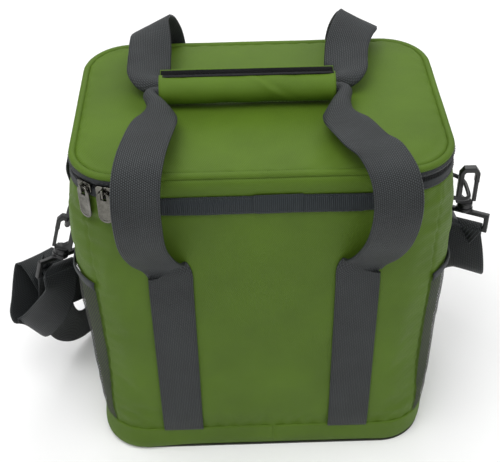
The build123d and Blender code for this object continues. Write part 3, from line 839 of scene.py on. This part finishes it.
# ---- front: cloth hinge and the ribbed tape over its seam ----
HINGE = tenths([
    (0, 3135), (7, 3150), (16, 3180), (22, 3215), (23, 3250), (19, 3280), (10, 3300), (-4, 3312), (-22, 3322)])
hinge_cloth = woven("hinge_cloth", [[((x, -DEPTH / 2 - out - 0.0003 * wavy(x, z, 2.0, 0.03), z), (x, z))
                                     for x in spread(-HINGE_HALF, HINGE_HALF, 60)] for out, z in HINGE], m_green)
hinge_cloth = thicken(subdivide(hinge_cloth), 0.0009)
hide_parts("hinge_band")
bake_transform(hinge_cloth)


def ribbed_strip(name, x0, x1, low, high, out, rib=0.0016):
    """A seam tape whose ribs stand up as real ridges, lying clear of the wall."""
    rows = []
    for f in (0, 0.04, 0.12, 0.3, 0.5, 0.7, 0.88, 0.96, 1):
        row = []
        edge = 0.0003 if f in (0, 1) else (0.0009 if f in (0.04, 0.96) else 0.0011)
        for i, x in enumerate(spread(x0, x1, int((x1 - x0) / rib) * 4)):
            z = low + (high - low) * f + 0.0005 * wavy(x, 0, 3.0, 0.05)
            ridge = 0 if f in (0, 1) else 0.00022 * math.sin(2 * math.pi * i / 4)
            wall = min(face_wall(-1, x + dx, z + dz) for dx in (-0.004, 0, 0.004) for dz in (-0.003, 0, 0.003))
            y = -DEPTH / 2 - out - edge - ridge - 0.0004 * wavy(x, f, 2.0, 0.05)
            row.append(((x, min(y, wall - 0.0011 - out - edge * 0.3 - ridge), z), (x, z)))
        rows.append(row)
    return thicken(woven(name, rows, m_seam), 0.0009)


place(ribbed_strip("seam_tape", -HINGE_HALF, HINGE_HALF, 0.2990, 0.3153, 0.0004), "root", "seam_tape",
      "hinge_seam_tape")
place(ribbed_strip("seam_tape_overlap", -0.0080, 0.0310, 0.3002, 0.3166, 0.0013), "root", "seam_tape")
tape_lines = [[((x / 1000, min(-DEPTH / 2 - 0.0017, face_wall(-1, x / 1000, z) - 0.0022), z), (0, -1, 0))
               for x in range(-97, 98, 4)] for z in (0.3010, 0.3136)]
place(stitches("seam_tape_stitching", tape_lines, m_dark_thread), "root", "seam_tape")

# ---- handles: key points from each sewn leg's top to the grip's middle ----
FRONT_LEFT = tenths([
    (-836, -1112, 2440), (-915, -1230, 2620), (-970, -1355, 2870), (-980, -1430, 3160), (-980, -1405, 3380),
    (-965, -1280, 3540), (-935, -1080, 3605), (-900, -853, 3600), (-875, -700, 3585), (-850, -540, 3570),
    (-838, -405, 3562), (-858, -300, 3552), (-895, -215, 3538), (-915, -140, 3526), (-885, -100, 3521),
    (-790, -96, 3520), (-450, -96, 3520)])
FRONT_RIGHT = tenths([
    (838, -1112, 2440), (920, -1230, 2620), (982, -1355, 2870), (1010, -1430, 3140), (1010, -1415, 3360),
    (980, -1300, 3510), (905, -1095, 3575), (805, -935, 3575), (735, -755, 3565), (675, -590, 3560),
    (650, -460, 3555), (668, -335, 3548), (700, -230, 3538), (718, -148, 3526), (690, -102, 3521),
    (600, -96, 3520), (260, -96, 3520)])
BACK_LOW = tenths([
    (800, 1115, 2580), (815, 1150, 2880), (840, 1150, 3160), (865, 1090, 3410), (905, 975, 3580),
    (935, 850, 3660)])
BACK_UP_LEFT = tenths([
    (-950, 720, 3690), (-945, 590, 3675), (-940, 450, 3625), (-945, 310, 3575), (-940, 190, 3545),
    (-900, 90, 3520), (-790, 30, 3512), (-680, 17, 3516), (-450, 16, 3520)])
BACK_UP_RIGHT = tenths([
    (890, 720, 3690), (835, 590, 3675), (790, 450, 3625), (770, 310, 3575), (755, 190, 3545), (710, 90, 3520),
    (600, 30, 3512), (490, 17, 3516), (260, 16, 3520)])
CREST_TILT = math.radians(28)
FRONT_TURN, BACK_TURN = ((6.0, 2.4), (9.6, 4.4), 5.7, 0.0), ((5.2, 2.2), (4.4, 2.0), -5.7, CREST_TILT)


def sewn_points(sx, sy):
    """The sewn leg's middle line, lying on the finished wall."""
    out = []
    for z in spread(SEWN_BOTTOM, SEWN_TOP - 0.0010, 14):
        reach = max(sy * face_wall(sy, sx * STRAP_X + 0.019 * k / 4, z + dz, 0.0014)
                    for k in range(-4, 5) for dz in (-0.006, 0, 0.006))
        out.append((sx * STRAP_X, sy * min(reach, SEWN_REACH), z))
    return out


def leg(pts, before, last, side, turn_keys, gather_keys, fold, tilt):
    """Sides, widths and folds for a leg that turns on edge and gathers; keys are counted back from the last."""
    sides, widths, folds = [], [], []
    for i in range(len(pts)):
        t = i / PER - before
        a = smooth(last - turn_keys[0], last - turn_keys[1], t) * math.pi / 2 * side
        lean = tilt * (1 - smooth(0.0, 4.0, t)) * side
        sides.append(np.array((math.cos(a) * math.cos(lean), math.sin(a), math.cos(a) * math.sin(lean))))
        gather = smooth(last - gather_keys[0], last - gather_keys[1], t)
        widths.append(WEBBING * (1 - 0.22 * gather))
        folds.append(fold * gather ** 1.3)
    return list(pts), sides, widths, folds


def handle(name, left, right):
    """Both legs as one length of webbing: up the left one, through the grip, down the right one."""
    (points, sides, widths, folds), (r_points, r_sides, r_widths, r_folds) = left, right
    # walking down the right leg, the width's direction is reversed so that the section doesn't flip
    return ribbon(name, points + r_points[::-1], sides + [-s for s in r_sides[::-1]], widths + r_widths[::-1],
                  m_strap, HANDLE_THICK, folds + r_folds[::-1])


def front_leg(sx, free):
    sewn = sewn_points(sx, -1)
    return leg(through(sewn + free), len(sewn), len(free), sx, *FRONT_TURN)


def back_rise(name, sx, cad_nodes):
    """The back handle's lower part, from the sewn leg to the crest."""
    keys = sewn_points(sx, 1) + [(sx * x, y, z) for x, y, z in BACK_LOW]
    pts = through(keys)
    sides = []
    for i in range(len(pts)):
        a = CREST_TILT * smooth(len(keys) - 4.5, len(keys) - 1.0, i / PER) * -sx
        sides.append((math.cos(a), 0, math.sin(a)))
    obj = ribbon(name, pts, sides, [WEBBING] * len(pts), m_strap, HANDLE_THICK)
    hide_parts(*cad_nodes)
    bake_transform(obj)


def back_leg(sx, free):
    keys = [(sx * x, y, z) for x, y, z in BACK_LOW[-2:]] + free
    return leg(through(keys)[PER:], 0, len(free), -sx, *BACK_TURN)


front_handle = handle("front_handle_webbing", front_leg(-1, FRONT_LEFT), front_leg(1, FRONT_RIGHT))
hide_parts("front_handle_loop", "front_left_handle_leg", "front_right_handle_leg")
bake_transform(front_handle)
back_rise("back_left_rise_webbing", -1, ("back_left_handle_leg", "back_handle_left_rise"))
back_rise("back_right_rise_webbing", 1, ("back_right_handle_leg", "back_handle_right_rise"))
back_handle = handle("back_handle_webbing", back_leg(-1, BACK_UP_LEFT), back_leg(1, BACK_UP_RIGHT))
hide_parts("back_handle_loop")
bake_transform(back_handle)

# two lines of stitches up each sewn leg and two across its top
leg_lines, LEG_LIFT = [], 0.0022
for sx in (-1, 1):
    mid = sx * STRAP_X
    for sy in (-1, 1):
        for dx in (-0.0165, 0.0165):
            near = mid + dx * 0.9
            leg_lines.append([((mid + dx, face_wall(sy, near, z / 1000, LEG_LIFT), z / 1000), (0, sy, 0))
                              for z in range(32, 235, 6)])
        for z in (0.2325, 0.2050):
            leg_lines.append([((mid + x / 1000, face_wall(sy, mid, z, LEG_LIFT), z), (0, sy, 0))
                              for x in range(-16, 17, 4)])
place(stitches("handle_leg_stitching", leg_lines, m_dark_thread), "root", "webbing")


# ---- grip wrap and its flap ----
def arc_profile(radius, start, stop, count=22):
    """(y, z) points on an arc round the grip's middle."""
    return [(GRIP_Y + radius * math.cos(math.radians(a)), GRIP_Z + radius * math.sin(math.radians(a)))
            for a in spread(start, stop, count)]


def cloth_strip(name, profile, inset, material, thickness, wrinkle, offset=-1.0):
    """A strip of cloth: a (y, z) profile carried along the grip, moved along its normal by wrinkle(x, share)."""
    profile = np.array(profile)
    run = distances(profile)
    rows = []
    for (y, z), (ty, tz), at in zip(profile, directions(profile), run):
        row = []
        for x in spread(GRIP_LEFT + inset, GRIP_RIGHT - inset, 56):
            w = wrinkle(x, at / run[-1])
            row.append(((x, y + tz * w, z - ty * w), (x, at)))
        rows.append(row)
    return thicken(woven(name, rows, material), thickness, offset)


def wrap_wrinkle(x, t):
    w = -0.0007 * wavy(x, t * 0.04, 2.0, 0.03) - 0.0004 * wavy(x, t * 0.04, 5.0, 0.012)
    crease = x - 0.006 - 0.05 * (t - 0.35)
    w += (0.0012 * bump(crease, 0, 0.0035) * bump(t, 0.32, 0.22)
          - 0.0009 * bump(crease, 0.007, 0.005) * bump(t, 0.36, 0.2))
    return w + 0.0011 * bump(x, GRIP_LEFT, 0.004) + 0.0011 * bump(x, GRIP_RIGHT, 0.004)


def flap_wrinkle(x, t):
    return smooth(0.6, 1.0, t) * 0.0006 * wavy(x, 0, 3.0, 0.04) - 0.0003 * wavy(x, t * 0.03, 4.0, 0.02)


wrap_profile = arc_profile(WRAP_R - 0.0002, 84, 262)
wrap = cloth_strip("grip_wrap_cloth", wrap_profile, 0, m_wrap, 0.0011, wrap_wrinkle, 1.0)
place(wrap, "front_handle", "green_wrap", "grip_wrap")
LIP = math.radians(8)
LIP_Y, LIP_Z = GRIP_Y + WRAP_R * math.cos(LIP), GRIP_Z + WRAP_R * math.sin(LIP)
lip = [(LIP_Y + y, LIP_Z + z) for y, z in tenths([(4, 12), (14, 30), (30, 46), (46, 60), (56, 68)])]
flap = cloth_strip("grip_flap_cloth", arc_profile(WRAP_R, -92, 6, 14) + lip, 0, m_wrap, 0.0010, flap_wrinkle)
place(flap, "grip_flap", "green_wrap", "grip_flap")
hook = cloth_strip("grip_hook_strip", [(y - 0.0013, z + 0.0010) for y, z in lip[:-1]], 0.0008, m_hooks, 0.0009,
                   flap_wrinkle, 1.0)
place(hook, "grip_flap", "hook_tape", "grip_hook_tape")
loop_strip = cloth_strip("grip_loop_strip", arc_profile(WRAP_R + 0.0006, 84, 98, 6), 0.0012, m_loops, 0.0006,
                         lambda x, t: 0.0, 1.0)
place(loop_strip, "front_handle", "loop_tape", "grip_loop_tape")
wrap_lines = []
for x in (GRIP_LEFT + 0.003, GRIP_LEFT + 0.0065, GRIP_RIGHT - 0.003):
    line = []
    for k, (y, z) in enumerate(wrap_profile):
        ny, nz = (y - GRIP_Y) / WRAP_R, (z - GRIP_Z) / WRAP_R
        w = -wrap_wrinkle(x, k / (len(wrap_profile) - 1)) + 0.0001
        line.append(((x, y + ny * w, z + nz * w), (0, ny, nz)))
    wrap_lines.append(line)
low_y, low_z = wrap_profile[20]
wrap_lines.append([((x / 1000, low_y, low_z - 0.0002), (0, -0.3, -0.95)) for x in range(-82, 63, 4)])
place(stitches("grip_stitching", wrap_lines, m_thread, 0.0030, 0.0022, 0.00022), "front_handle", "green_wrap")

# ---- mesh side pockets ----
TRIM = tenths([(-80, 2), (-78, 8), (-60, 12), (-30, 12), (-8, 9), (0, 2), (-4, -6)])


def wall_reach(run, z):
    """The furthest the finished wall stands off the plan near one place."""
    out = -1.0
    for near in (-0.004, -0.002, 0.0, 0.002, 0.004):
        px, py = wall_point(run + near, z)
        x, y, nx, ny = plan(run + near)
        out = max(out, (px - x) * nx + (py - y) * ny)
    return out


def pocket(side, first, last, full):
    """A net between two seams, fuller towards its top by full, and the elastic along that top."""
    around = runs(first + 0.0004, last - 0.0004, 0.0045)

    def lies(run, z, clear):
        """How far out the pocket lies: its swell, but clear of the wall."""
        d = min(run - first, last - run)
        swell = smooth(0.0, 0.045, d) * (0.0014 + full * share(POCKET_BOTTOM, POCKET_TOP, z) ** 1.15)
        out = 0.0008 + swell + 0.0005 * wavy(run, z, 4.0, 0.03)
        return max(out, wall_reach(run, z) + clear + 0.0006 * smooth(0, 0.02, d))

    def net_at(run, z):
        return lies(run, z, 0.0010), z

    rise = POCKET_TOP - 0.005 - POCKET_BOTTOM
    levels = [(POCKET_BOTTOM - 0.0018 + rise * i / 30,) for i in range(31)]
    mesh = round_sheet(side + "_pocket_net", around, levels, net_at, m_net, closed=False)
    place(mesh, "root", "mesh", side + "_pocket_mesh")
    p = np.array(round_rows(around, levels, net_at))
    trim = round_sheet(side + "_pocket_trim", around, [(out, POCKET_TOP + up) for up, out in TRIM],
                       lambda run, out, z: (lies(run, z, 0.0011) + out, z + 0.0005 * wavy(run, 0, 9.0, 0.02)),
                       m_elastic, closed=False)
    place(thicken(trim, THIN_CLOTH), "root", "elastic", side + "_pocket_elastic")


pocket("right", SEAMS[0], SEAMS[1], 0.0056)
pocket("left", SEAMS[2], SEAMS[3], 0.0074)


# ---- D-rings and their tabs ----
def ring_points(droop, sx, height):
    """The D-ring's middle line, closed."""
    reach, half, flat = RING_REACH, 0.019, 0.013
    rising = [(0.0012, half - 0.0006), (0.006, half), (0.017, half - 0.001), (0.0225, half - 0.004),
              (reach - 0.0006, flat - 0.003)]
    falling = [(u, -v) for u, v in rising[::-1]]
    keys = [(0, -half + 0.003), (0, 0), (0, half - 0.003), *rising, (reach, 0), *falling]
    a = math.radians(droop)
    loop = through(keys + keys[:3])[PER:PER + PER * len(keys)]
    pts = [(sx * (RING_X + u * math.cos(a)), v, height - u * math.sin(a)) for u, v in loop]
    return pts + pts[:1]


for side, sx, first in (("left", -1, 2), ("right", 1, 0)):
    height = RING_Z[side]
    ring = tube(side + "_d_ring", ring_points(RING_DROOP[side], sx, height), 0.0020, m_black, 14, closed=True)
    place(ring, side + "_ring", "black_plastic", side + "_ring")
    middle = SEAMS[first] + (SEAMS[first + 1] - SEAMS[first]) / 2
    keys = []
    for z in (0.3134, 0.305, 0.292, 0.278, 0.264, height + 0.013):
        stand = 0.0009 + (0.0065 if sx < 0 else 0.0015) * bump(z, 0.280, 0.022)
        keys.append((wall_point(middle, z, stand)[0], 0, z))
    for a in (math.radians(v) for v in (128, 90, 45, 0, -45, -90, -125)):
        keys.append((sx * (RING_X + 0.0034 * math.cos(a)), 0, height + 0.0034 * math.sin(a)))
    keys.append((wall_point(middle, height - 0.0065, 0.0005)[0], 0, height - 0.0058))
    pts = through(keys)
    tab = ribbon(side + "_ring_webbing", pts, [(0, sx, 0)] * len(pts), [0.025] * len(pts), m_strap, 0.0014)
    place(tab, "root", "webbing", side + "_ring_tab")


# ---- hooks, gates, eyes and the adjuster: the CAD pieces with moulded, rounded edges ----
def moulded(name, node, body, slot, material, voxel=0.0006, rounds=5):
    """A rounded copy of a CAD node."""
    obj = bpy.data.objects.new(name, nodes[node].data.copy())
    bpy.context.scene.collection.objects.link(obj)
    modified(obj, "REMESH", mode="VOXEL", voxel_size=voxel, use_smooth_shade=True)
    modified(obj, "SMOOTH", factor=0.5, iterations=rounds)
    obj.data.materials.clear()
    obj.data.materials.append(material)
    place(obj, body, slot, node)


for side in ("left", "right"):
    moulded(side + "_hook_moulding", side + "_hook_body", side + "_hook", "black_plastic", m_black)
    moulded(side + "_gate_moulding", side + "_hook_gate", side + "_gate", "black_plastic", m_black, 0.0005, 3)
    moulded(side + "_eye_moulding", side + "_swivel_eye", "shoulder_strap", "black_plastic", m_black)
moulded("adjuster_moulding", "strap_adjuster", "adjuster", "black_plastic", m_black)
for name in ("slider_a", "slider_b", "pull_a", "pull_b"):
    moulded(name + "_metal", name, name, "nickel", m_nickel, 0.00035, 3)

# ---- shoulder strap ----
EYE_TURN, EYE_TILT = {"left": 42.0, "right": -25.0}, {"left": 16.0, "right": 0.0}
HOOK_Y, HOOK_DROP = {"left": -0.011, "right": 0.0}, {"left": 0.056, "right": 0.042}
RUN_Y, RUN_Z, BAR_R = 0.1230, 0.0420, 0.0048


def eye_side(side):
    """The direction of an eye's lower bar."""
    a, t = math.radians(EYE_TURN[side]), math.radians(EYE_TILT[side])
    return math.cos(a) * math.cos(t), math.sin(a), -math.cos(a) * math.sin(t)


def round_bar(side):
    """The strap's middle line over an eye's lower bar, from its front to its back."""
    sx = -1 if side == "left" else 1
    d, a, t = (math.radians(v) for v in (RING_DROOP[side], EYE_TURN[side], EYE_TILT[side]))
    bar = Vector((sx * (RING_X + RING_REACH * math.cos(d)) - HOOK_DROP[side] * math.sin(t), HOOK_Y[side],
                  RING_Z[side] - RING_REACH * math.sin(d) - HOOK_DROP[side] * math.cos(t)))
    front = Vector((math.sin(a) * math.cos(t), -math.cos(a), -math.sin(a) * math.sin(t)))
    over = Vector((math.sin(t), 0, math.cos(t)))
    return [tuple(bar + BAR_R * (front * math.cos(b) + over * math.sin(b)))
            for b in (math.radians(v) for v in spread(-20, 200, 6))]


L_SIDE, R_SIDE, UP = eye_side("left"), eye_side("right"), (0.0, 0.0, 1.0)
OUTER = tenths([
    (-540, 1205, 420), (-800, 1205, 450), (-1100, 1170, 510), (-1400, 1055, 580), (-1680, 840, 650),
    (-1860, 620, 720), (-1980, 420, 820), (-2050, 260, 980), (-2090, 160, 1180), (-2120, 130, 1340),
    (-2180, 190, 1420), (-2250, 260, 1425), (-2300, 290, 1340), (-2340, 220, 1170), (-2370, 100, 990),
    (-2400, -10, 860), (-2350, -110, 800), (-2240, -180, 910), (-2105, -200, 1090), (-2000, -185, 1270),
    (-1940, -165, 1430)])
OUTER_SIDES = [UP] * 5 + [(0.1, 0.1, 0.98), (0.35, 0.3, 0.9), (0.62, 0.5, 0.6), (0.75, 0.6, 0.25)]
OUTER_SIDES += [(0.8, 0.58, 0.1)] * 2 + [(0.8, 0.58, 0.0)] * 2 + [(0.78, 0.5, -0.3), (0.72, 0.35, -0.55)]
OUTER_SIDES += [(0.6, 0.2, -0.77), (0.57, 0.1, -0.8), (0.66, 0.05, -0.68), (0.74, 0.15, -0.66)]
OUTER_SIDES += [(0.72, 0.4, -0.5), L_SIDE]
INNER = tenths([
    (-2030, -50, 1360), (-2060, -20, 1120), (-2080, 30, 880), (-2070, 110, 660), (-2030, 230, 460),
    (-1950, 400, 310), (-1820, 660, 220), (-1500, 1040, 215), (-1100, 1230, 280), (-800, 1230, 380),
    (-480, 1230, 420), (450, 1230, 420), (850, 1225, 440), (1200, 1190, 500), (1500, 1040, 620),
    (1700, 820, 780), (1820, 580, 960), (1900, 380, 1120), (1960, 220, 1220), (2000, 100, 1270),
    (2015, 10, 1330), (2000, -50, 1440), (1960, -65, 1660)])
INNER_SIDES = [L_SIDE] * 3 + [(0.68, 0.6, 0.4), (0.5, 0.45, 0.75), (0.25, 0.25, 0.93)] + [UP] * 10
INNER_SIDES += [(0.2, 0, 0.95), (0.5, -0.1, 0.8), (0.8, -0.3, 0.45)] + [R_SIDE] * 4
left_bar, right_bar = round_bar("left"), round_bar("right")
end_x, end_y, end_z = right_bar[-1]
tail = (end_x + 0.0006, end_y + 0.0014, end_z - 0.024)
strap_points = through(OUTER + left_bar + INNER + right_bar + [tail])
strap_sides = through(OUTER_SIDES + [L_SIDE] * 7 + INNER_SIDES + [R_SIDE] * 8)
strap = ribbon("shoulder_webbing", strap_points, strap_sides, [WEBBING] * len(strap_points), m_shoulder, 0.0017)
place(strap, "shoulder_strap", "webbing", "shoulder_strap")
loop_points = [(-0.076 + 0.0482 * i / 8, RUN_Y - 0.00455, RUN_Z) for i in range(9)]
loop = ribbon("adjuster_webbing", loop_points, [UP] * 9, [WEBBING] * 9, m_shoulder, 0.0016)
place(loop, "adjuster", "webbing", "adjuster_loop")

# ---- floor, light and camera ----
floor = add_object("floor", [(-4, -4, 0), (4, -4, 0), (4, 4, 0), (-4, 4, 0)], [(0, 1, 2, 3)])
pale = Look("pale_floor", Specular_IOR_Level=0.1)
pale_grey = pale.ramp(pale.noise(3.0), [(0.3, (0.91, 0.91, 0.91)), (0.7, (0.94, 0.94, 0.94))])
floor.data.materials.append(pale.finish(pale_grey, 0.9))

world = bpy.data.worlds.new("studio")
world.use_nodes = True
sky = world.node_tree
height = sky.nodes.new("ShaderNodeSeparateXYZ")
sky.links.new(sky.nodes.new("ShaderNodeTexCoord").outputs["Generated"], height.inputs[0])
dome = sky.nodes.new("ShaderNodeValToRGB")
sky.links.new(height.outputs[2], dome.inputs[0])
dome.color_ramp.elements[0].position, dome.color_ramp.elements[0].color = 0.0, (0.28, 0.28, 0.28, 1)
dome.color_ramp.elements[1].position, dome.color_ramp.elements[1].color = 0.9, (1.0, 1.0, 1.0, 1)
sky.links.new(dome.outputs[0], sky.nodes["Background"].inputs[0])
sky.nodes["Background"].inputs[1].default_value = 1.0
bpy.context.scene.world = world


def softbox(name, at, aim, size, power):
    light = bpy.data.lights.new(name, "AREA")
    light.shape, light.size, light.size_y, light.energy = "RECTANGLE", size[0], size[1], power
    obj = bpy.data.objects.new(name, light)
    obj.location = at
    obj.rotation_mode = "QUATERNION"
    obj.rotation_quaternion = (Vector(aim) - Vector(at)).to_track_quat("-Z", "Y")
    bpy.context.scene.collection.objects.link(obj)


softbox("key", (-0.35, -0.45, 1.7), (0, 0, 0.2), (0.9, 0.9), 13)
softbox("fill", (1.2, -0.9, 1.4), (0, 0, 0.2), (1.0, 1.0), 4)
softbox("back", (0.2, 1.4, 1.3), (0, 0, 0.3), (1.2, 0.8), 7)

camera_data = bpy.data.cameras.new("camera")
camera = bpy.data.objects.new("camera", camera_data)
bpy.context.scene.collection.objects.link(camera)
camera_data.lens, camera_data.sensor_width = 71.84, 36.0
camera_data.clip_start, camera_data.clip_end = 0.01, 50
pitch, yaw, roll = math.radians(40.056), math.radians(0.8076), math.radians(-1.096)
ahead = Vector((math.sin(yaw) * math.cos(pitch), math.cos(yaw) * math.cos(pitch), -math.sin(pitch)))
right = Vector((math.cos(yaw), -math.sin(yaw), 0))
above = right.cross(ahead)
cam_x = right * math.cos(roll) + above * math.sin(roll)
cam_y = above * math.cos(roll) - right * math.sin(roll)
camera.matrix_world = Matrix.Translation((-0.02026, -0.72962, 0.80315)) @ Matrix(
    (cam_x, cam_y, -ahead)).transposed().to_4x4()
bpy.context.scene.camera = camera
bpy.context.scene.view_settings.view_transform = "Standard"
